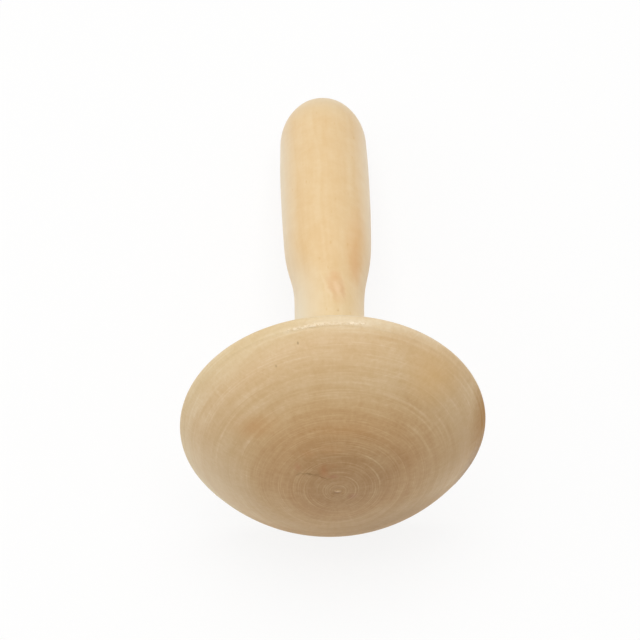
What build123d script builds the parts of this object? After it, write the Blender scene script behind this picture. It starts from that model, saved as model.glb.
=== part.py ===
from build123d import *
import os
from math import atan, atan2, cos, degrees, hypot, radians, sin, tan

# Darning mushroom: a turned head with a shallow dome, on a turned handle that is glued into its back.
# It lies on its side, as it does when it is put down: the rim of the head and the round end of the
# handle touch the ground. +Z is up, and the handle points to +Y and slopes down a little.
# The origin is on the ground, under the middle of the whole piece.

# Head, in millimetres. Its height runs from the middle of the dome to the flat back.
head_diameter = 75.0
head_height = 23.1
rim_round = 1.4
centre_mark_radius = 0.9
centre_mark_depth = 0.35

# Socket in the back of the head: a shallow seat for the handle's foot, and a blind bore below it.
# The crown wall is the wood left between the bore's floor and the dome.
seat_depth = 1.0
crown_wall = 8.0
drill_point_angle = 118.0
joint_clearance = 0.1

# Handle, from its tenon to its round end. The foot's edge stands just proud of the head's back.
tenon_radius = 6.9
tenon_relief = 1.5
tenon_chamfer = 1.0
flute_radius = 0.8
flute_count = 6
foot_radius = 13.0
foot_lip = 0.6
flare_length = 14.3
neck_radius = 8.9
neck_length = 24.0
shoulder_length = 38.0
grip_radius = 11.7
grip_length = 25.2
end_length = 14.8

# Points on the shoulder between neck and grip: share of its length, share of its rise in radius
shoulder_shares = [(0.24, 0.14), (0.45, 0.61), (0.74, 0.90)]

# How far a cutting tool runs past the face it starts from
overrun = 1.0

# Radii and distances along the turning axis, counted from the middle of the dome
head_radius = head_diameter / 2
rim_centre = head_height - rim_round
rim_centre_radius = head_radius - rim_round
seat_floor = head_height - seat_depth
seat_radius = foot_radius + joint_clearance
bore_radius = tenon_radius + joint_clearance
bore_depth = seat_floor - crown_wall
drill_point_depth = bore_radius / tan(radians(drill_point_angle / 2))
tenon_end = seat_floor - bore_depth + tenon_relief
flare_start = head_height + foot_lip
neck_start = flare_start + flare_length
neck_end = neck_start + neck_length
grip_start = neck_end + shoulder_length
grip_end = grip_start + grip_length
overall_length = grip_end + end_length

# The dome is part of a sphere that runs into the round of the rim with no corner
crown_radius = (rim_centre**2 + rim_centre_radius**2 - rim_round**2) / (2 * (rim_centre - rim_round))
crown_angle = degrees(atan2(rim_centre_radius, crown_radius - rim_centre))
mark_angle = degrees(atan2(centre_mark_radius, crown_radius))

# At rest the rim's round and the handle's oval end both touch the ground. The slope of the axis sets
# one against the other, so it is worked out in turns, each from the last, until it no longer changes.
slope = 0
for turn in range(40):
    rim_reach = rim_centre_radius + rim_round * hypot(1, slope)
    end_reach = hypot(grip_radius, end_length * slope)
    slope = (rim_reach - end_reach) / (grip_end - rim_centre)
tilt = atan(slope)

# Where the middle of the dome is, so that the piece touches the ground and is centred over the origin
crown_overhang = crown_radius * (1 - cos(tilt))
handle_reach = grip_end * cos(tilt) + hypot(end_length * cos(tilt), grip_radius * sin(tilt))
dome_y = (crown_overhang - handle_reach) / 2
dome_z = rim_round + rim_centre * sin(tilt) + rim_centre_radius * cos(tilt)
axis_direction = Vector(0, cos(tilt), -sin(tilt))
dome_middle = Vector(0, dome_y, dome_z)
turning_axis = Axis(dome_middle, axis_direction)

# Outlines are drawn in the plane through the turning axis and X: first the radius, then the distance
# along the axis. The seams of the turned faces are then on the sides, not where the piece touches the ground.
outline_plane = Plane(dome_middle, x_dir=(1, 0, 0), z_dir=(0, sin(tilt), cos(tilt)))


def cross_plane(distance):
    """A plane square to the turning axis, facing the handle's end, at a distance from the dome."""
    return Plane(dome_middle + axis_direction * distance, x_dir=(1, 0, 0), z_dir=axis_direction)


# Head: dome with the lathe's centre mark, round rim and flat back, then the socket for the handle
with BuildPart() as head:
    with BuildSketch(outline_plane):
        with BuildLine():
            crown = CenterArc((0, crown_radius), crown_radius, mark_angle - 90, crown_angle - mark_angle)
            rim = CenterArc((rim_centre_radius, rim_centre), rim_round, crown_angle - 90, 180 - crown_angle)
            Polyline(rim @ 1, (0, head_height), (0, centre_mark_depth), crown @ 0)
        make_face()
    revolve(axis=turning_axis)
    with Locations(cross_plane(head_height)):
        CounterBoreHole(bore_radius, seat_radius, seat_depth, depth=seat_depth + bore_depth)
    with BuildSketch(outline_plane):
        with BuildLine():
            drill_point = Line((0, crown_wall - drill_point_depth), (bore_radius, crown_wall))
            Polyline(
                drill_point @ 1,
                (bore_radius, crown_wall + overrun),
                (0, crown_wall + overrun),
                drill_point @ 0,
            )
        make_face()
    revolve(axis=turning_axis, mode=Mode.SUBTRACT)

# Handle: tenon, flared foot, neck, shoulder, grip and oval end in one turned piece
shoulder_rise = grip_radius - neck_radius
shoulder_points = [
    (neck_radius + rise * shoulder_rise, neck_end + length * shoulder_length)
    for length, rise in shoulder_shares
]
with BuildPart() as handle:
    with BuildSketch(outline_plane):
        with BuildLine():
            tenon = Polyline(
                (0, tenon_end),
                (tenon_radius - tenon_chamfer, tenon_end),
                (tenon_radius, tenon_end + tenon_chamfer),
                (tenon_radius, seat_floor),
                (foot_radius, seat_floor),
                (foot_radius, flare_start),
            )
            flare = TangentArc((neck_radius, neck_start), tenon @ 1, tangent=(0, -1))
            neck = Line(flare @ 0, (neck_radius, neck_end))
            shoulder = Spline(
                neck @ 1, *shoulder_points, (grip_radius, grip_start), tangents=[(0, 1), (0, 1)]
            )
            oval_end = EllipticalCenterArc(
                (0, grip_end), grip_radius, end_length, start_angle=90, arc_size=-90
            )
            Line(shoulder @ 1, oval_end @ 1)
            Line(oval_end @ 0, tenon @ 0)
        make_face()
    revolve(axis=turning_axis)
    # Glue flutes run the length of the tenon and stop at the foot
    with BuildSketch(cross_plane(tenon_end - overrun)):
        with PolarLocations(tenon_radius, flute_count):
            Circle(flute_radius)
    extrude(amount=seat_floor - tenon_end + overrun, mode=Mode.SUBTRACT)

head.part.label = "head"
handle.part.label = "handle"
os.makedirs("parts", exist_ok=True)
export_step(head.part, "parts/head.step")
export_step(handle.part, "parts/handle.step")

print(f"overall length {overall_length:.2f} mm, dome radius {crown_radius:.2f} mm")
print(f"tilt {degrees(tilt):.3f} degrees, dome middle at y {dome_y:.3f} and z {dome_z:.3f} mm")
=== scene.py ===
import bpy
import numpy as np
from mathutils import Matrix, Vector


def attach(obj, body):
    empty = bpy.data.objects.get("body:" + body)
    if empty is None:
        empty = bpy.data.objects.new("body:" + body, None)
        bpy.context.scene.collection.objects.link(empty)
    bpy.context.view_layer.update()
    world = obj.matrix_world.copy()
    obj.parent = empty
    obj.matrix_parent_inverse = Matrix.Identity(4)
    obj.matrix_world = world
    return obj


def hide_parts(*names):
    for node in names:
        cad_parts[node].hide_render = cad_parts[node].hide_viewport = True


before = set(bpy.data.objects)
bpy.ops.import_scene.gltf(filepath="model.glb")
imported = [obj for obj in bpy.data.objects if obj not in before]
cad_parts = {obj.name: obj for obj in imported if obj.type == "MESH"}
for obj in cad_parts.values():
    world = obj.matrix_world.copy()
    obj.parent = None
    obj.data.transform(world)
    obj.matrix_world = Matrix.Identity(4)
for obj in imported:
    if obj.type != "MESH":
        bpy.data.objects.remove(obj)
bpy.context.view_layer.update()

# Head
# One turned piece of birch, cut so that its growth rings run round the middle of the dome. The lathe leaves a
# nib at the middle, a fine crease where dome and rim meet, and faint rings from the tool. Its flat back has
# a shallow seat and a blind bore, and the handle is glued into them.
mm = 0.001
# How it lies: the turning axis slopes down by the tilt, and the middle of the dome is here, in millimetres
tilt = np.radians(13.734)
dome_middle = np.array([0.0, -67.508, 41.620])
axis_way = np.array([0.0, np.cos(tilt), -np.sin(tilt)])
up_way = np.array([0.0, np.sin(tilt), np.cos(tilt)])
across_way = np.array([1.0, 0.0, 0.0])


def turned_piece(name, across, along, up):
    """Makes a closed skin from a grid of points, given in millimetres from the middle of the dome.

    Each point is  dome_middle + across * across_way + along * axis_way + up * up_way.  Each row is a ring that
    closes on itself, rows are joined by quads, and the first and last ring close on their own middle points.
    """
    rows, columns = across.shape
    across = np.concatenate([across.ravel(), [across[0].mean(), across[-1].mean()]])
    along = np.concatenate([along.ravel(), [along[0].mean(), along[-1].mean()]])
    up = np.concatenate([up.ravel(), [up[0].mean(), up[-1].mean()]])
    points = dome_middle + across[:, None] * across_way + along[:, None] * axis_way + up[:, None] * up_way
    index = np.arange(rows * columns).reshape(rows, columns)
    beside = np.roll(index, -1, axis=1)
    quads = np.stack([index[:-1], beside[:-1], beside[1:], index[1:]], axis=-1).reshape(-1, 4)
    first = np.stack([np.full(columns, rows * columns), beside[0], index[0]], axis=-1)
    last = np.stack([index[-1], beside[-1], np.full(columns, rows * columns + 1)], axis=-1)
    corners = np.concatenate([quads.ravel(), first.ravel(), last.ravel()])
    sizes = np.concatenate([np.full(len(quads), 4), np.full(2 * columns, 3)])
    mesh = bpy.data.meshes.new(name)
    mesh.vertices.add(len(points))
    mesh.vertices.foreach_set("co", (points * mm).ravel())
    mesh.loops.add(len(corners))
    mesh.loops.foreach_set("vertex_index", corners)
    mesh.polygons.add(len(sizes))
    mesh.polygons.foreach_set("loop_start", np.concatenate([[0], np.cumsum(sizes)[:-1]]))
    mesh.polygons.foreach_set("use_smooth", np.ones(len(sizes), bool))
    mesh.update(calc_edges=True)
    mesh.validate()
    mesh.set_sharp_from_angle(angle=np.radians(40))
    piece = bpy.data.objects.new(name, mesh)
    bpy.context.scene.collection.objects.link(piece)
    return piece


def waver(places, wavelengths, seed):
    """A wandering height along a line: the sum of one cosine for each wavelength, each with a random phase,
    scaled so that the whole stays near -1 to 1."""
    phases = np.random.default_rng(seed).uniform(0, 2 * np.pi, len(wavelengths))
    waves = np.cos(2 * np.pi * np.multiply.outer(places, 1 / np.asarray(wavelengths)) + phases)
    return waves.sum(axis=-1) / np.sqrt(len(wavelengths))


# Sizes in millimetres. The dome is part of a ball, and the rim is a round edge about rim_middle, which is its
# radius and its distance along the axis.
dome_radius, rim_radius, back_along = 43.65, 1.4, 23.1
rim_middle = np.array([36.097, 21.7])
rim_start = np.arctan2(rim_middle[0], dome_radius - rim_middle[1])
seat_radius, seat_along = 13.1, 22.1
bore_radius, bore_along = 7.0, 8.0

# Rings of the dome stand 0.17 mm apart along its skin, and closer where the crease is
dome_steps = np.concatenate([np.linspace(0.16, 41.6, 250), np.linspace(41.66, 44.68, 52)])
rim_steps = np.linspace(rim_start, np.pi, 26)[1:]
back_steps = np.linspace(36.1, seat_radius, 44)[1:]
# The seat, the bore and the cone that the drill's point leaves, as radius and distance along
seat_and_bore = np.array([
    (seat_radius, 22.6), (seat_radius, seat_along), (10.0, seat_along), (bore_radius, seat_along),
    (bore_radius, 17.0), (bore_radius, 12.0), (bore_radius, bore_along), (3.5, 5.9), (0.6, 4.16),
])
profile_radius = np.concatenate([
    dome_radius * np.sin(dome_steps / dome_radius),
    rim_middle[0] + rim_radius * np.sin(rim_steps),
    back_steps,
    seat_and_bore[:, 0],
])
profile_along = np.concatenate([
    dome_radius * (1 - np.cos(dome_steps / dome_radius)),
    rim_middle[1] - rim_radius * np.cos(rim_steps),
    np.full(len(back_steps), back_along),
    seat_and_bore[:, 1],
])
on_dome = np.arange(len(profile_radius)) < len(dome_steps)
angle = np.linspace(0, 2 * np.pi, 224, endpoint=False)
radius = np.repeat(profile_radius[:, None], len(angle), axis=1)
along = np.repeat(profile_along[:, None], len(angle), axis=1)

# The tool's rings are a few thousandths deep, and each is deeper on one side, where it met harder wood. The
# skin lies a little below the solid, so that no ring stands out of it.
ring_size, skin_below = 0.004, 0.006
ring_height = ring_size * waver(profile_radius, [0.55, 0.71, 0.93, 1.3, 1.9, 2.9], 3)
ring_side = 0.6 + 0.4 * np.cos(angle[None, :] - 2.2 * waver(profile_radius, [9.0, 14.0, 23.0], 5)[:, None])
relief = np.where(on_dome[:, None], ring_height[:, None] * ring_side - skin_below, 0.0)

# The crease: a groove just inside the rim, and a bead beside it, broken where the fibres lifted
crease_radius = 36.4
groove_radius, groove_depth, groove_width = 36.28, 0.026, 0.15
bead_radius, bead_height, bead_width = 36.64, 0.065, 0.17
crease_break = 0.7 + 0.3 * waver(angle * crease_radius, [2.1, 2.9, 4.3, 7.1], 7)
groove = -groove_depth * np.exp(-(((profile_radius - groove_radius) / groove_width) ** 2))
bead = bead_height * np.exp(-(((profile_radius - bead_radius) / bead_width) ** 2))
relief += np.where(on_dome[:, None], (groove + bead)[:, None] * crease_break[None, :], 0.0)
radius_out = np.where(on_dome, profile_radius / dome_radius, 0.0)[:, None]
along_out = np.where(on_dome, profile_along / dome_radius - 1, 0.0)[:, None]
radius = radius + relief * radius_out
along = along + relief * along_out

# The middle mark stands half a millimetre beside the axis. Rings near it are round the mark, rings past
# pull_reach are round the axis, and all of them lie on the dome.
mark_across, mark_up, pull_reach = 0.46, 0.10, 34.0
pull = np.where(on_dome[:, None], np.clip(1 - (radius / pull_reach) ** 2, 0, 1) ** 2, 0.0)
across = radius * np.sin(angle) + mark_across * pull
up = radius * np.cos(angle) + mark_up * pull
shifted = dome_radius - np.sqrt(dome_radius**2 - (across**2 + up**2))
plain = dome_radius - np.sqrt(dome_radius**2 - radius**2)
along = along + np.where(pull > 0, shifted - plain, 0.0)

# The nib that the lathe leaves: a torn crumb about a millimetre wide, in a shallow dimple
nib_height, dimple_depth = 0.16, 0.05
nib_across, nib_up = across - mark_across, up - mark_up
nib = nib_height * np.exp(-(np.hypot(nib_across / 0.75, nib_up / 0.34) ** 4))
dimple = dimple_depth * np.exp(-((np.hypot(nib_across / 1.25, nib_up) - 0.75) ** 2) / 0.12)
along = along - np.where(on_dome[:, None], nib - dimple, 0.0)

# The bore isn't quite square to the dome, so the head stands 0.7 degrees askew on its handle
skew = np.radians(0.735)
from_seat = along - seat_along
along = seat_along + from_seat * np.cos(skew) + across * np.sin(skew)
across = across * np.cos(skew) - from_seat * np.sin(skew)
head = turned_piece("head_wood", across, along, up)
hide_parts("head")
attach(head, "root")


def linear(code):
    """The linear colour of an sRGB hex code: each channel c becomes ((c + 0.055) / 1.055) ** 2.4, or c / 12.92."""
    channel = np.array([int(code[i:i + 2], 16) for i in (1, 3, 5)]) / 255
    return (*np.where(channel > 0.04045, ((channel + 0.055) / 1.055) ** 2.4, channel / 12.92), 1.0)


def add(tree, kind, inputs, stops=(), **settings):
    """Adds a node with its settings, and gives each input, by name or number, a value or another node's output.
    Where it is a ramp, each stop is a place and a colour or a grey."""
    node = tree.nodes.new(kind)
    for name, value in settings.items():
        setattr(node, name, value)
    open_inputs = [socket for socket in node.inputs if socket.enabled]
    for name, value in inputs.items():
        socket = open_inputs[name] if isinstance(name, int) else next(s for s in open_inputs if s.name == name)
        if isinstance(value, bpy.types.Node):
            value = next(s for s in value.outputs if s.enabled)
        if isinstance(value, bpy.types.NodeSocket):
            tree.links.new(value, socket)
        else:
            socket.default_value = value
    for number, (spot, shade) in enumerate(stops):
        elements = node.color_ramp.elements
        element = elements[number] if number < 2 else elements.new(spot)
        element.position = spot
        element.color = linear(shade) if isinstance(shade, str) else (shade, shade, shade, 1.0)
    return node


def wood(name):
    """A new material, its node tree, and a vector in it that gives millimetres from the middle of the dome: X
    across, Y along the turning axis, Z up."""
    material = bpy.data.materials.new(name)
    material.use_nodes = True
    tree = material.node_tree
    tree.nodes.clear()
    place = add(tree, "ShaderNodeTexCoord", {}).outputs["Object"]
    turned = add(
        tree, "ShaderNodeMapping",
        {"Vector": place, "Location": tuple(dome_middle * mm), "Rotation": (-tilt, 0, 0), "Scale": (mm, mm, mm)},
        vector_type="TEXTURE",
    )
    return material, tree, turned


def swing(tree, depth, noise, amount):
    """A depth of tint that a noise moves: by -amount where the noise is 0.3 or less, by amount from 0.7 on."""
    moved = add(
        tree, "ShaderNodeMapRange",
        {"Value": noise, "From Min": 0.3, "From Max": 0.7, "To Min": -amount, "To Max": amount},
    )
    return add(tree, "ShaderNodeMath", {0: depth, 1: moved}, operation="ADD")


def mark(tree, colour, place, middle, half_sizes, slant, shade, cover):
    """A colour with a spot of another shade laid on it. The spot is an ellipse with this middle, half sizes and
    slant, and it covers  cover * (1 - distance from its middle, counted in half sizes),  kept within 0 to 1."""
    within = add(
        tree, "ShaderNodeMapping",
        {"Vector": place, "Location": middle, "Rotation": slant, "Scale": half_sizes}, vector_type="TEXTURE",
    )
    inside = add(tree, "ShaderNodeTexGradient", {"Vector": within}, gradient_type="SPHERICAL").outputs["Fac"]
    amount = add(tree, "ShaderNodeMath", {0: inside, 1: cover}, operation="MULTIPLY", use_clamp=True)
    return add(tree, "ShaderNodeMix", {"Factor": amount, "A": colour, "B": linear(shade)}, data_type="RGBA")


# Birch end grain, turned, sanded and waxed: tan round the pith and paler towards the rim, with growth rings, rays
# and pores, pale tool lines that come and go, sanding marks across them, and a short check and warm marks beside
# the pith. A brown right edge and a darker foot are painted shade, a pale lower left is a painted reflection, and
# the rim's upper right edge and the top of the crease carry a painted highlight. The satin of the wax shines where
# the crease is torn.
end_grain, tree, turned = wood("birch_end_grain_turned_and_waxed")
from_pith = add(
    tree, "ShaderNodeMapping", {"Vector": turned, "Location": (-0.67, 0, -0.13), "Scale": (1, 0, 1)}
)
true_radius = add(tree, "ShaderNodeVectorMath", {0: from_pith}, operation="LENGTH").outputs["Value"]
# The rings of a real stem aren't round: they wander by a millimetre or two
drift = add(tree, "ShaderNodeTexNoise", {"Vector": turned, "Scale": 0.035, "Detail": 1.0}).outputs["Color"]
drift_way = add(tree, "ShaderNodeVectorMath", {0: drift, 1: (0.5, 0.5, 0.5)}, operation="SUBTRACT")
drift_flat = add(tree, "ShaderNodeVectorMath", {0: drift_way, 1: (5.0, 0.0, 5.0)}, operation="MULTIPLY")
ring_place = add(tree, "ShaderNodeVectorMath", {0: from_pith, 1: drift_flat}, operation="ADD")
ring_radius = add(tree, "ShaderNodeVectorMath", {0: ring_place}, operation="LENGTH").outputs["Value"]

# Heartwood to sapwood: the darker heart lies 4 mm above the pith and is a little wider than high. Its tone is read
# at the distance from there, in shares of 50 mm. Set off so, it also leaves the lower left of the dome paler,
# partly as a painted reflection there.
heart_and_veil_place = add(
    tree, "ShaderNodeMapping", {"Vector": ring_place, "Location": (-1.8, 0, -4.6), "Scale": (1, 0, 1.2)}
)
heart_and_veil_radius = add(tree, "ShaderNodeVectorMath", {0: heart_and_veil_place}, operation="LENGTH").outputs["Value"]
heart_and_veil_share = add(tree, "ShaderNodeMath", {0: heart_and_veil_radius, 1: 50.0}, operation="DIVIDE")
tone = add(
    tree, "ShaderNodeValToRGB", {0: heart_and_veil_share},
    stops=[
        (0.0, "#AB8558"), (0.88, "#DCC7A0"), (0.16, "#AC8658"), (0.32, "#B89161"), (0.46, "#C09D6E"),
        (0.56, "#C8A97D"), (0.72, "#CFAF82"), (0.80, "#D7BE93"),
    ],
)

# Where the wood holds more of its tint it is darker and warmer: the colour to the power of this depth, which is
# 1 on the whole. Growth rings 1 to 3 mm wide are noise that runs fast outwards and slowly round.
ring_slow = add(tree, "ShaderNodeVectorMath", {0: turned, "Scale": 0.02}, operation="SCALE")
ring_count = add(tree, "ShaderNodeMath", {0: ring_radius, 1: 0.5}, operation="MULTIPLY")
growth = add(
    tree, "ShaderNodeTexNoise",
    {"Vector": ring_slow, "W": ring_count, "Scale": 1.0, "Detail": 3.5, "Roughness": 0.62},
    noise_dimensions="4D",
)
depth = add(tree, "ShaderNodeMath", {0: growth, 1: 0.54, 2: 0.73}, operation="MULTIPLY_ADD")
# Rays run out from the pith and hardly show
ray_way = add(tree, "ShaderNodeVectorMath", {0: from_pith}, operation="NORMALIZE")
ray_fan = add(tree, "ShaderNodeVectorMath", {0: ray_way, "Scale": 22.0}, operation="SCALE")
ray_run = add(tree, "ShaderNodeMath", {0: true_radius, 1: 0.2}, operation="MULTIPLY")
rays = add(
    tree, "ShaderNodeTexNoise", {"Vector": ray_fan, "W": ray_run, "Scale": 1.0, "Detail": 2.0},
    noise_dimensions="4D",
)
depth = swing(tree, depth, rays, 0.022)
# Clouds from 2 mm to a centimetre across
cloud = add(tree, "ShaderNodeTexNoise", {"Vector": turned, "Scale": 0.12, "Detail": 5.0, "Roughness": 0.6})
depth = swing(tree, depth, cloud, 0.07)
# The pores give a fine grain, drawn half a millimetre wide, since real ones are finer
pores = add(tree, "ShaderNodeTexNoise", {"Vector": turned, "Scale": 1.0, "Detail": 3.0, "Roughness": 0.7})
depth = swing(tree, depth, pores, 0.065)

# The tool's lines: pale rings 0.2 mm wide and 0.6 mm apart. Their spacing wavers, and each has its own arcs where
# it shows. They show most round the pith.
waver_in = add(tree, "ShaderNodeTexNoise", {"W": true_radius, "Scale": 0.45, "Detail": 2.0}, noise_dimensions="1D")
line_count = add(tree, "ShaderNodeMath", {0: true_radius, 1: 1.7}, operation="MULTIPLY")
line_phase = add(tree, "ShaderNodeMath", {0: waver_in, 1: 2.2, 2: line_count}, operation="MULTIPLY_ADD")
line_number = add(tree, "ShaderNodeMath", {0: line_phase}, operation="FLOOR")
line_within = add(tree, "ShaderNodeMath", {0: line_phase}, operation="FRACT")
line_shape = add(tree, "ShaderNodeValToRGB", {0: line_within}, stops=[(0.22, 0.0), (0.78, 0.0), (0.5, 1.0)])
line_slow = add(tree, "ShaderNodeVectorMath", {0: turned, "Scale": 0.09}, operation="SCALE")
line_seed = add(tree, "ShaderNodeMath", {0: line_number, 1: 3.7}, operation="MULTIPLY")
line_arcs = add(
    tree, "ShaderNodeTexNoise", {"Vector": line_slow, "W": line_seed, "Scale": 1.0, "Detail": 1.0},
    noise_dimensions="4D",
)
line_mask = add(tree, "ShaderNodeValToRGB", {0: line_arcs}, stops=[(0.44, 0.0), (0.64, 1.0)])
line_near = add(
    tree, "ShaderNodeMapRange",
    {"Value": true_radius, "From Min": 8.0, "From Max": 22.0, "To Min": 1.0, "To Max": 0.47},
)
line_drawn = add(tree, "ShaderNodeMath", {0: line_shape, 1: line_mask}, operation="MULTIPLY")
line_amount = add(tree, "ShaderNodeMath", {0: line_drawn, 1: line_near}, operation="MULTIPLY")
depth = add(tree, "ShaderNodeMath", {0: line_amount, 1: -0.24, 2: depth}, operation="MULTIPLY_ADD")
# A few lines are cut deeper and show paler, and the wide first one is a painted highlight along the rounded edge of
# the rim at the upper right. Each has a distance from the pith and a half width, in millimetres, the middle and
# half length of its arc, in degrees clockwise from the top, and how much tint it takes away.
for line_radius, half_width, arc_middle, arc_half, paler in [
    (37.0, 1.9, 28, 36, 0.272), (30.2, 0.9, 324, 24, 0.112), (29.2, 0.4, 300, 40, 0.112),
    (23.9, 0.4, 306, 24, 0.112), (26.3, 0.35, 40, 24, 0.16), (25.3, 0.25, 52, 22, 0.128),
    (22.9, 0.3, 64, 20, 0.128), (27.8, 0.3, 72, 18, 0.128), (10.3, 0.26, 62, 34, 0.128),
    (12.1, 0.26, 44, 30, 0.112), (8.3, 0.24, 34, 30, 0.128), (10.4, 0.24, 282, 34, 0.128),
    (8.2, 0.24, 250, 40, 0.144), (6.9, 0.22, 236, 36, 0.128), (17.6, 0.4, 338, 22, 0.112),
]:
    from_line = add(tree, "ShaderNodeMath", {0: true_radius, 1: line_radius}, operation="SUBTRACT")
    line_off = add(tree, "ShaderNodeMath", {0: from_line}, operation="ABSOLUTE")
    line_close = add(tree, "ShaderNodeMapRange", {"Value": line_off, "From Min": half_width, "From Max": 0.0})
    arc_way = (np.sin(np.radians(arc_middle)), 0.0, np.cos(np.radians(arc_middle)))
    arc_share = add(tree, "ShaderNodeVectorMath", {0: ray_way, 1: arc_way}, operation="DOT_PRODUCT")
    arc_ends, arc_full = np.cos(np.radians(arc_half)), np.cos(np.radians(arc_half / 3))
    arc_amount = add(
        tree, "ShaderNodeMapRange",
        {"Value": arc_share.outputs["Value"], "From Min": arc_ends, "From Max": arc_full},
        interpolation_type="SMOOTHSTEP",
    )
    arc_drawn = add(tree, "ShaderNodeMath", {0: line_close, 1: arc_amount}, operation="MULTIPLY")
    depth = add(tree, "ShaderNodeMath", {0: arc_drawn, 1: -paler, 2: depth}, operation="MULTIPLY_ADD")
# Sanding marks a few millimetres long, which cross the rings
scratch_place = add(
    tree, "ShaderNodeMapping", {"Vector": turned, "Rotation": (0, np.radians(38), 0), "Scale": (0.16, 0.3, 2.2)}
)
scratch = add(tree, "ShaderNodeTexNoise", {"Vector": scratch_place, "Scale": 1.0, "Detail": 1.0})
scratch_amount = add(tree, "ShaderNodeValToRGB", {0: scratch}, stops=[(0.58, 0.0), (0.7, 1.0)])
depth = add(tree, "ShaderNodeMath", {0: scratch_amount, 1: -0.05, 2: depth}, operation="MULTIPLY_ADD")
# Painted shade: the foot of the dome is darker and warmer, from 14.5 mm below the middle on, and a little more on
# the right
painted_foot_shade_place = add(tree, "ShaderNodeVectorMath", {0: turned, 1: (0.15, 0.0, -1.0)}, operation="DOT_PRODUCT")
painted_foot_shade = add(
    tree, "ShaderNodeMapRange",
    {"Value": painted_foot_shade_place.outputs["Value"], "From Min": 14.5, "From Max": 22.0, "To Min": 0.0, "To Max": 0.3},
    interpolation_type="SMOOTHSTEP",
)
depth = add(tree, "ShaderNodeMath", {0: depth, 1: painted_foot_shade}, operation="ADD")
colour = add(tree, "ShaderNodeGamma", {"Color": tone, "Gamma": depth})

# Marks laid on the colour. Each has the place of its middle, across and up, its half width, half height and slant,
# its shade and its cover. Ragged ones are the check beside the pith, in three runs, the warm marks round it, and
# the wider patches towards the rim; of these, the pale patch at the lower left is a painted reflection, and the
# brown right edge and the run below it are painted shade. Two specks have plain edges. The nib is torn fibre,
# paler, with a painted highlight on its top and painted shade under it. All of them go straight through the dome.
ragged = add(tree, "ShaderNodeTexNoise", {"Vector": turned, "Scale": 0.9, "Detail": 2.0}).outputs["Color"]
ragged_way = add(tree, "ShaderNodeVectorMath", {0: ragged, 1: (0.5, 0.5, 0.5)}, operation="SUBTRACT")
ragged_place = add(tree, "ShaderNodeVectorMath", {0: ragged_way, 1: turned}, operation="ADD")
torn_place = add(
    tree, "ShaderNodeVectorMath", {0: ragged_way, 1: (1.6, 0.0, 1.0), 2: turned}, operation="MULTIPLY_ADD"
)
through = 90.0
for mark_place, marks in [
    (ragged_place, [
        (-6.1, 5.5, 3.2, 0.34, 0, "#82602F", 0.8),
        (-3.1, 4.7, 2.0, 0.34, 24, "#8A6234", 0.8),
        (-8.9, 5.0, 1.1, 0.26, -38, "#94703F", 0.7),
        (-2.7, 6.7, 1.5, 2.7, 0, "#AB7040", 0.65),
        (-0.6, 8.1, 2.8, 1.0, 0, "#A87848", 0.5),
        (-0.5, 5.0, 1.7, 0.9, 0, "#A86E4E", 0.65),
        (-8.85, 7.3, 1.1, 1.7, 0, "#AE7048", 0.45),
        (-6.3, 11.4, 2.4, 1.7, 0, "#B4804A", 0.4),
        (-0.9, 12.6, 5.0, 1.8, 0, "#B5824C", 0.35),
        (-19.0, 15.4, 8.5, 3.8, -30, "#BD8A4E", 0.5),
        (3.6, 17.5, 12.0, 2.2, 0, "#BE8B50", 0.15),
        (24.0, 23.0, 10.0, 6.0, 42, "#D2A45E", 0.45),
        (4.2, -2.0, 1.7, 1.3, 0, "#A8735A", 0.4),
        (15.0, -19.0, 18.0, 12.0, 0, "#A0825C", 0.35),
        (31.0, 0.0, 8.0, 15.0, 0, "#B48C54", 0.6),
        # A painted reflection: the pale patch at the lower left
        (-31.0, -11.0, 14.0, 20.0, 0, "#D2BD9A", 0.45),
        # Painted shade: the brown right edge and its run below
        (37.7, 3.0, 5.2, 20.0, 4, "#A8761F", 1.4),
        (35.0, -13.0, 4.8, 13.0, 20, "#96682C", 0.9),
    ]),
    (turned, [(-8.31, 33.63, 0.3, 0.3, 0, "#8A6A42", 0.9), (-13.57, 29.11, 0.27, 0.27, 0, "#8A6A42", 0.7)]),
    # The nib: painted shade under it, and paler torn fibre with a painted highlight on its top
    (torn_place, [(0.4, -0.5, 1.3, 0.6, 0, "#94704A", 0.7), (0.74, 0.15, 1.3, 0.36, 0, "#DDBF9A", 0.8)]),
]:
    for middle_across, middle_up, half_wide, half_high, slant, shade, cover in marks:
        colour = mark(
            tree, colour, mark_place, (middle_across, 0, middle_up), (half_wide, through, half_high),
            (0, np.radians(slant), 0), shade, cover,
        )

# The bead of the crease: its ring is read at the distance from the pith, in shares of 40 mm, and only its top is
# drawn, where the painted highlight lies. There the tool tore the fibres, from 12 mm left of the middle to 9 mm
# right of it, and less between.
crease_share = add(tree, "ShaderNodeMath", {0: true_radius, 1: 40.0}, operation="DIVIDE")
crease_ring = add(
    tree, "ShaderNodeValToRGB", {0: crease_share}, stops=[(0.909, 0.0), (0.9245, 0.0), (0.9145, 1.0), (0.919, 1.0)]
)
turned_parts = add(tree, "ShaderNodeSeparateXYZ", {0: turned})
crease_top = add(
    tree, "ShaderNodeMapRange", {"Value": turned_parts.outputs["Z"], "From Min": 32.0, "From Max": 34.5},
    interpolation_type="SMOOTHSTEP",
)
crease_torn = add(tree, "ShaderNodeTexNoise", {"Vector": turned, "Scale": 1.7, "Detail": 3.0, "Roughness": 0.7})
crease_crumbs = add(tree, "ShaderNodeValToRGB", {0: crease_torn}, stops=[(0.42, 0.0), (0.52, 1.0)])
crease_across = add(
    tree, "ShaderNodeMapRange", {"Value": turned_parts.outputs["X"], "From Min": -15.0, "From Max": 12.0}
)
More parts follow.
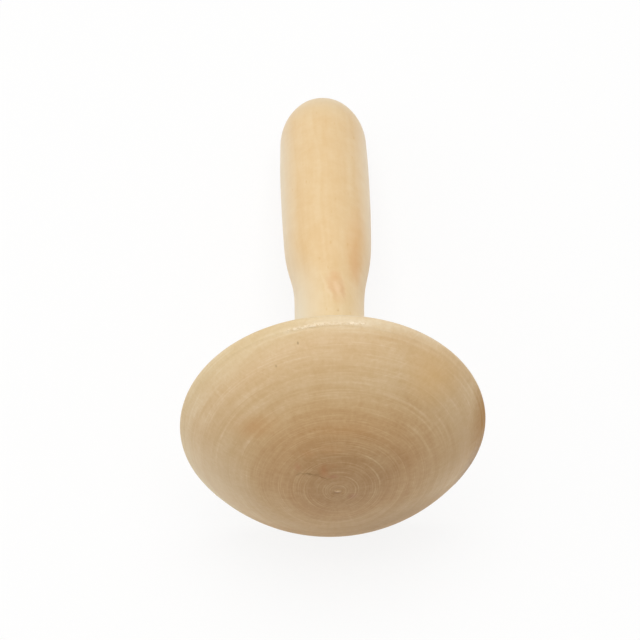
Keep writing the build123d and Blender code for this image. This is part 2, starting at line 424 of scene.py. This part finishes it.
crease_runs = add(
    tree, "ShaderNodeValToRGB", {0: crease_across},
    stops=[
        (0.08, 0.0), (0.91, 0.0), (0.17, 0.9), (0.38, 1.0), (0.45, 0.6), (0.68, 0.6), (0.75, 1.0), (0.85, 0.9),
    ],
)
crease_parts = add(tree, "ShaderNodeMath", {0: crease_crumbs, 1: crease_runs}, operation="MULTIPLY")
crease_whole = add(tree, "ShaderNodeMath", {0: crease_ring, 1: crease_top}, operation="MULTIPLY")
crease = add(tree, "ShaderNodeMath", {0: crease_whole, 1: crease_parts}, operation="MULTIPLY")
# The torn fibres are paler, with a painted highlight laid on them, and they stand up, and the wax lies thick and
# glossy on them
torn_and_highlight_amount = add(tree, "ShaderNodeMath", {0: crease, 1: 0.55}, operation="MULTIPLY")
colour = add(tree, "ShaderNodeMix", {"Factor": torn_and_highlight_amount, "A": colour, "B": linear("#F2DEBC")}, data_type="RGBA")
# Elsewhere the wax is a satin that varies a little. The pale lines stand a few thousandths proud, and the cut
# ends of the fibres give a fine grain.
wax_noise = add(tree, "ShaderNodeTexNoise", {"Vector": turned, "Scale": 0.9, "Detail": 3.0})
wax = add(
    tree, "ShaderNodeMapRange",
    {"Value": wax_noise, "From Min": 0.3, "From Max": 0.7, "To Min": 0.43, "To Max": 0.53},
)
roughness = add(tree, "ShaderNodeMath", {0: crease, 1: -0.22, 2: wax}, operation="MULTIPLY_ADD")
fibre_ends = add(tree, "ShaderNodeTexNoise", {"Vector": turned, "Scale": 1.3, "Detail": 2.0})
fibre_size = add(tree, "ShaderNodeMath", {0: crease, 1: 0.12, 2: 0.012}, operation="MULTIPLY_ADD")
fibre_height = add(tree, "ShaderNodeMath", {0: fibre_ends, 1: fibre_size}, operation="MULTIPLY")
height = add(tree, "ShaderNodeMath", {0: line_amount, 1: 0.006, 2: fibre_height}, operation="MULTIPLY_ADD")
bump = add(tree, "ShaderNodeBump", {"Height": height, "Distance": mm, "Strength": 1.0})
shader = add(
    tree, "ShaderNodeBsdfPrincipled",
    {
        "Base Color": colour, "Roughness": roughness, "Normal": bump, "Sheen Weight": 0.1, "Sheen Roughness": 0.4,
        "Coat Weight": crease, "Coat Roughness": 0.13, "Coat Normal": bump,
    },
)
add(tree, "ShaderNodeOutputMaterial", {"Surface": shader})
head.data.materials.append(end_grain)

# Handle
# One turned piece of the same birch with its grain along it: a tenon with glue flutes, a flared foot, a thin
# neck, a swelling shoulder, a fat grip and an oval end. It was sanded by hand and waxed.
tenon_start, tenon_radius, flute_radius, flute_count = 9.5, 6.9, 0.8, 6
foot_radius, neck_radius, grip_radius, end_length = 13.0, 8.9, 11.7, 14.796
flare_start, neck_start, neck_end, grip_start, grip_end = 23.7, 38.0, 62.0, 100.0, 125.2
flare_drop, flare_length = foot_radius - neck_radius, neck_start - flare_start
flare_radius = (flare_drop**2 + flare_length**2) / (2 * flare_drop)


def smooth_run(places, known_places, known_values):
    """A curve through known values that leaves and arrives level: one cubic for each gap, with slopes m that make
    bending continuous,  h2*m0 + 2*(h1+h2)*m1 + h1*m2 = 3*(h2*rise1/h1 + h1*rise2/h2)."""
    known_places, known_values = np.asarray(known_places, float), np.asarray(known_values, float)
    gap, rise = np.diff(known_places), np.diff(known_values)
    count = len(known_places)
    system, right = np.eye(count), np.zeros(count)
    inner = np.arange(1, count - 1)
    system[inner, inner - 1] = gap[1:]
    system[inner, inner] = 2 * (gap[:-1] + gap[1:])
    system[inner, inner + 1] = gap[:-1]
    right[inner] = 3 * (gap[1:] * rise[:-1] / gap[:-1] + gap[:-1] * rise[1:] / gap[1:])
    slope = np.linalg.solve(system, right)
    cell = np.clip(np.searchsorted(known_places, places) - 1, 0, count - 2)
    share = np.clip((places - known_places[cell]) / gap[cell], 0, 1)
    return (
        known_values[cell] + share**2 * (3 - 2 * share) * rise[cell]
        + gap[cell] * share * (1 - share) * ((1 - share) * slope[cell] - share * slope[cell + 1])
    )


# The tenon and the foot's face on the seat, as distance along and radius
tenon_and_foot = np.array([
    (tenon_start, 0.6), (tenon_start, 3.0), (tenon_start, 5.9), (10.0, 6.4),
    (10.5, tenon_radius), (14.0, tenon_radius), (18.0, tenon_radius), (22.08, tenon_radius),
    (seat_along, 7.4), (seat_along, 9.0), (seat_along, 11.0), (seat_along, foot_radius),
    (22.7, foot_radius), (23.3, foot_radius), (23.62, foot_radius), (flare_start, 12.92),
])
flare_steps = np.linspace(flare_start, neck_start, 44)[1:]
neck_steps = np.linspace(neck_start, neck_end, 50)[1:]
shoulder_steps = np.linspace(neck_end, grip_start, 84)[1:]
grip_steps = np.linspace(grip_start, grip_end, 50)[1:]
end_turns = np.linspace(0, np.pi / 2, 44)[1:-1]
handle_along = np.concatenate([
    tenon_and_foot[:, 0], flare_steps, neck_steps, shoulder_steps, grip_steps,
    grip_end + end_length * np.sin(end_turns),
])
handle_radius = np.concatenate([
    tenon_and_foot[:, 1],
    neck_radius + flare_radius - np.sqrt(flare_radius**2 - (neck_start - flare_steps) ** 2),
    np.full(len(neck_steps), neck_radius),
    smooth_run(
        shoulder_steps, [neck_end, 71.12, 79.1, 90.12, grip_start], [neck_radius, 9.292, 10.608, 11.42, grip_radius]
    ),
    np.full(len(grip_steps), grip_radius),
    grip_radius * np.cos(end_turns),
])

# Sanding by hand left the shoulder and the grip a tenth of a millimetre full, took as much off the end, and left
# the middle line unsteady
sanded = smooth_run(
    handle_along,
    [36, 52, 60, 68, 77, 84, 91, 102, 112, 119, 126, 131, 135, 137.5, 139.6],
    [0, -0.03, -0.02, 0.06, 0.15, 0.13, 0.05, 0.06, 0.14, 0.04, -0.13, -0.1, 0.06, 0.2, -0.01],
)
wander = smooth_run(
    handle_along,
    [30, 50, 58, 66, 72, 80, 90, 100, 112, 124, 134],
    [0, 0.02, 0.06, 0.22, 0.32, 0.27, 0.22, 0.16, 0.05, 0, -0.07],
)
angle = np.linspace(0, 2 * np.pi, 192, endpoint=False)
radius = np.repeat((handle_radius + sanded)[:, None], len(angle), axis=1)
along = np.repeat(handle_along[:, None], len(angle), axis=1)
# It also left flats a few hundredths deep, which fade out over the flare and the end
flat_depth = 0.02
facet = waver(angle * 10.0, [10 * np.pi, 5 * np.pi, 20 * np.pi / 7], 11)
facet_run = waver(handle_along, [17.0, 29.0, 41.0], 13)
sanded_part = np.clip((handle_along - 26) / 12, 0, 1) * np.clip((139 - handle_along) / 14, 0, 1)
radius -= flat_depth * sanded_part[:, None] * (1.0 + 0.6 * facet[None, :] * facet_run[:, None])

# Glue flutes run along the tenon: there the skin lies on the flute's inner side
flute_turn = 2 * np.pi / flute_count
flute_way = (angle + flute_turn / 2) % flute_turn - flute_turn / 2
aside = tenon_radius * np.sin(flute_way)
flute_skin = tenon_radius * np.cos(flute_way) - np.sqrt(np.clip(flute_radius**2 - aside**2, 0, None))
on_tenon = (handle_along < seat_along) & (handle_radius > 5.5)
in_flute = (np.abs(aside) < flute_radius)[None, :] & on_tenon[:, None]
radius = np.where(in_flute, np.minimum(radius, flute_skin[None, :]), radius)
handle = turned_piece("handle_wood", radius * np.sin(angle) + wander[:, None], along, radius * np.cos(angle))
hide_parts("handle")
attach(handle, "root")

# Birch long grain, sanded by hand and waxed: cream, with soft streaks along the fibres, short brown flecks, a
# warm patch on the shoulder and a pink knot figure on the neck. The wax gives it a soft satin.
long_grain, tree, turned = wood("birch_long_grain_sanded_and_waxed")
# The neck is paler and greyer where it nears the head
turned_parts = add(tree, "ShaderNodeSeparateXYZ", {0: turned})
near_head = add(
    tree, "ShaderNodeMapRange",
    {"Value": turned_parts.outputs["Y"], "From Min": 46.0, "From Max": 76.0, "To Min": 1.0, "To Max": 0.0},
    interpolation_type="SMOOTHSTEP",
)
tone = add(
    tree, "ShaderNodeMix", {"Factor": near_head, "A": linear("#E0C08F"), "B": linear("#E2C89A")}, data_type="RGBA"
)
# As on the head, the colour to the power of a depth of tint. Streaks 2 mm wide and 40 mm long run with the
# fibres, with finer ones in them.
streak_place = add(tree, "ShaderNodeMapping", {"Vector": turned, "Scale": (0.42, 0.024, 0.42)})
streak = add(tree, "ShaderNodeTexNoise", {"Vector": streak_place, "Scale": 1.0, "Detail": 4.5, "Roughness": 0.56})
depth = add(tree, "ShaderNodeMath", {0: streak, 1: 0.28, 2: 0.86}, operation="MULTIPLY_ADD")
# The growth layers lie flat in the blank, so they show as wide pale and warm bands where the shoulder cuts them
layer_bend = add(tree, "ShaderNodeTexNoise", {"Vector": turned, "Scale": 0.02, "Detail": 1.0})
layer_place = add(tree, "ShaderNodeVectorMath", {0: turned, 1: (0.30, 0.012, 0.16)}, operation="DOT_PRODUCT")
layer_count = add(
    tree, "ShaderNodeMath", {0: layer_bend, 1: 2.5, 2: layer_place.outputs["Value"]}, operation="MULTIPLY_ADD"
)
layer = add(tree, "ShaderNodeTexNoise", {"W": layer_count, "Scale": 1.0, "Detail": 2.0}, noise_dimensions="1D")
depth = swing(tree, depth, layer, 0.06)
# Clouds a few millimetres across, and a fine mottle in them
cloud = add(tree, "ShaderNodeTexNoise", {"Vector": turned, "Scale": 0.22, "Detail": 5.0, "Roughness": 0.65})
depth = swing(tree, depth, cloud, 0.085)
# Short brown flecks with the fibres, drawn 0.3 mm wide, since real ones are finer
fleck_place = add(tree, "ShaderNodeMapping", {"Vector": turned, "Scale": (0.62, 0.26, 0.62)})
flecks = add(tree, "ShaderNodeTexVoronoi", {"Vector": fleck_place, "Scale": 1.0, "Randomness": 1.0})
fleck_near = add(tree, "ShaderNodeValToRGB", {0: flecks.outputs["Distance"]}, stops=[(0.06, 1.0), (0.2, 0.0)])
fleck_pick = add(tree, "ShaderNodeValToRGB", {0: flecks.outputs["Color"]}, stops=[(0.5, 0.0), (0.9, 0.22)])
fleck_amount = add(tree, "ShaderNodeMath", {0: fleck_near, 1: fleck_pick}, operation="MULTIPLY")
depth = add(tree, "ShaderNodeMath", {0: depth, 1: fleck_amount}, operation="ADD")
colour = add(tree, "ShaderNodeGamma", {"Color": tone, "Gamma": depth})

# Marks laid on the colour, as on the head, each with its middle and half sizes across, along and up, its slant,
# shade and cover: painted sheen on the two edges of the neck and on both sides, the paler end, the warm patch on
# the shoulder, the pink loop of a small knot on the neck with a pale fibre beside it, and a speck
ragged = add(tree, "ShaderNodeTexNoise", {"Vector": turned, "Scale": 0.45, "Detail": 2.0}).outputs["Color"]
ragged_way = add(tree, "ShaderNodeVectorMath", {0: ragged, 1: (0.5, 0.5, 0.5)}, operation="SUBTRACT")
ragged_place = add(
    tree, "ShaderNodeVectorMath", {0: ragged_way, 1: (1.4, 3.0, 1.4), 2: turned}, operation="MULTIPLY_ADD"
)
for middle, half_sizes, slant, shade, cover in [
    # Painted sheen on the two edges of the neck, then the paler end, then painted sheen on the two sides
    ((-8.5, 52.0, 4.0), (10.0, 30.0, 9.0), 0, "#E4D7BC", 1.0),
    ((9.5, 50.0, 3.0), (6.0, 15.0, 8.0), 0, "#EED4AA", 1.0),
    ((0.0, 134.0, 8.0), (12.0, 12.0, 14.0), 0, "#E0C79C", 1.0),
    ((13.0, 110.0, 4.0), (6.0, 50.0, 10.0), 0, "#EBD6B4", 1.0),
    ((-14.0, 102.0, 4.0), (7.5, 64.0, 12.0), 0, "#E5D6B9", 1.0),
    ((7.2, 78.0, 8.0), (3.4, 16.0, 6.0), -4, "#DCA868", 0.52),
    ((7.1, 71.0, 7.0), (2.4, 8.0, 4.0), 0, "#D6A064", 0.52),
    ((1.9, 61.8, 8.8), (3.2, 7.0, 3.0), 10, "#E0B184", 0.45),
    ((1.6, 65.6, 9.0), (2.0, 2.4, 3.0), 0, "#D8A26C", 0.42),
    ((0.7, 61.4, 9.0), (0.8, 5.4, 3.0), 14, "#D09A68", 0.34),
    ((3.5, 61.2, 8.6), (0.8, 4.6, 3.0), 8, "#CC9668", 0.42),
    ((2.1, 61.4, 8.9), (1.0, 3.0, 3.0), 11, "#ECCDA6", 0.55),
    ((-0.6, 61.8, 8.9), (0.6, 8.0, 3.0), 15, "#EED9B4", 0.3),
    ((2.1, 53.72, 8.65), (0.3, 0.45, 2.0), 0, "#B08050", 0.4),
]:
    colour = mark(tree, colour, ragged_place, middle, half_sizes, (0, 0, np.radians(slant)), shade, cover)

# The satin of the wax varies a little, and the fibres under it stand up by a hundredth of a millimetre
wax_noise = add(tree, "ShaderNodeTexNoise", {"Vector": turned, "Scale": 0.5, "Detail": 3.0})
wax = add(
    tree, "ShaderNodeMapRange",
    {"Value": wax_noise, "From Min": 0.3, "From Max": 0.7, "To Min": 0.42, "To Max": 0.54},
)
fibre_place = add(tree, "ShaderNodeMapping", {"Vector": turned, "Scale": (2.4, 0.14, 2.4)})
fibre = add(tree, "ShaderNodeTexNoise", {"Vector": fibre_place, "Scale": 1.0, "Detail": 3.0})
fibre_height = add(tree, "ShaderNodeMath", {0: fibre, 1: 0.010}, operation="MULTIPLY")
bump = add(tree, "ShaderNodeBump", {"Height": fibre_height, "Distance": mm, "Strength": 1.0})
shader = add(
    tree, "ShaderNodeBsdfPrincipled",
    {"Base Color": colour, "Roughness": wax, "Normal": bump, "Sheen Weight": 0.25, "Sheen Roughness": 0.4},
)
add(tree, "ShaderNodeOutputMaterial", {"Surface": shader})
handle.data.materials.append(long_grain)

# Floor
# A smooth white table under the piece. Where the camera sees it, most of it is plain white, and the rest is
# lit as paint is, so that it keeps the piece's soft shadow. Its size is in metres.
half_side = 1.5
floor_corners = [(x * half_side, y * half_side, 0) for x, y in ((-1, -1), (1, -1), (1, 1), (-1, 1))]
floor_mesh = bpy.data.meshes.new("floor")
floor_mesh.from_pydata(floor_corners, [], [(0, 1, 2, 3)])
floor = bpy.data.objects.new("floor", floor_mesh)
bpy.context.scene.collection.objects.link(floor)
white_table = bpy.data.materials.new("white_table")
white_table.use_nodes = True
tree = white_table.node_tree
tree.nodes.clear()
paint = add(tree, "ShaderNodeBsdfDiffuse", {"Color": linear("#F4F3F1")})
plain_white = add(tree, "ShaderNodeEmission", {"Color": (1, 1, 1, 1), "Strength": 1.0})
light_path = add(tree, "ShaderNodeLightPath", {})
seen = add(tree, "ShaderNodeMath", {0: light_path.outputs["Is Camera Ray"], 1: 0.85}, operation="MULTIPLY")
surface = add(tree, "ShaderNodeMixShader", {0: seen, 1: paint, 2: plain_white})
add(tree, "ShaderNodeOutputMaterial", {"Surface": surface})
floor.data.materials.append(white_table)

# Light
# A white room with one wide soft lamp overhead, and two weaker ones that lift the sides of the dome. The room
# lights the piece at half strength, and is plain white where the camera, gloss or glass shows it.
room = bpy.data.worlds.new("room")
bpy.context.scene.world = room
room.use_nodes = True
tree = room.node_tree
tree.nodes.clear()
room_light = add(tree, "ShaderNodeBackground", {"Color": (1, 1, 1, 1), "Strength": 0.51})
room_seen = add(tree, "ShaderNodeBackground", {"Color": (1, 1, 1, 1), "Strength": 1.0})
light_path = add(tree, "ShaderNodeLightPath", {})
camera_ray, glossy_ray, glass_ray = (
    light_path.outputs[f"Is {kind} Ray"] for kind in ("Camera", "Glossy", "Transmission")
)
either = add(tree, "ShaderNodeMath", {0: camera_ray, 1: glossy_ray}, operation="MAXIMUM")
seen = add(tree, "ShaderNodeMath", {0: either, 1: glass_ray}, operation="MAXIMUM")
sky = add(tree, "ShaderNodeMixShader", {0: seen, 1: room_light, 2: room_seen})
add(tree, "ShaderNodeOutputWorld", {"Surface": sky})
lamp_aim = Vector((0, 0, 0.03))
for name, spot, size, energy in [
    ("soft_lamp_above", (0.0, 0.1, 0.9), 0.7, 4.6),
    ("soft_lamp_left", (-0.75, -0.1, 0.45), 0.6, 1.2),
    ("soft_lamp_right", (0.75, -0.1, 0.45), 0.6, 0.25),
]:
    lamp_data = bpy.data.lights.new(name, "AREA")
    lamp_data.shape = "SQUARE"
    lamp_data.size = size
    lamp_data.energy = energy
    lamp = bpy.data.objects.new(name, lamp_data)
    lamp.location = spot
    lamp.rotation_euler = (lamp_aim - Vector(spot)).to_track_quat("-Z", "Y").to_euler()
    bpy.context.scene.collection.objects.link(lamp)

# Camera
# It looks down on the dome from 58 degrees, a little to the left of the piece's own line. Its focal length is
# given in pixels of a frame 640 wide.
focal_pixels, frame_pixels, sensor_width = 3039.0, 640, 36.0
camera_data = bpy.data.cameras.new("camera")
camera_data.sensor_width = sensor_width
camera_data.lens = focal_pixels / frame_pixels * sensor_width
camera = bpy.data.objects.new("camera", camera_data)
sideways, down = np.radians(-1.295), np.radians(58.30)
forward = Vector((-np.sin(sideways) * np.cos(down), np.cos(sideways) * np.cos(down), -np.sin(down)))
right = Vector((np.cos(sideways), np.sin(sideways), 0.0))
above = right.cross(forward)
camera_turn = Matrix((right, above, -forward)).transposed().to_4x4()
camera_place = Vector((-0.0115094, -0.4159329, 0.6844450))
camera.matrix_world = Matrix.Translation(camera_place) @ camera_turn
bpy.context.scene.collection.objects.link(camera)
bpy.context.scene.camera = camera
bpy.context.scene.view_settings.view_transform = "Standard"
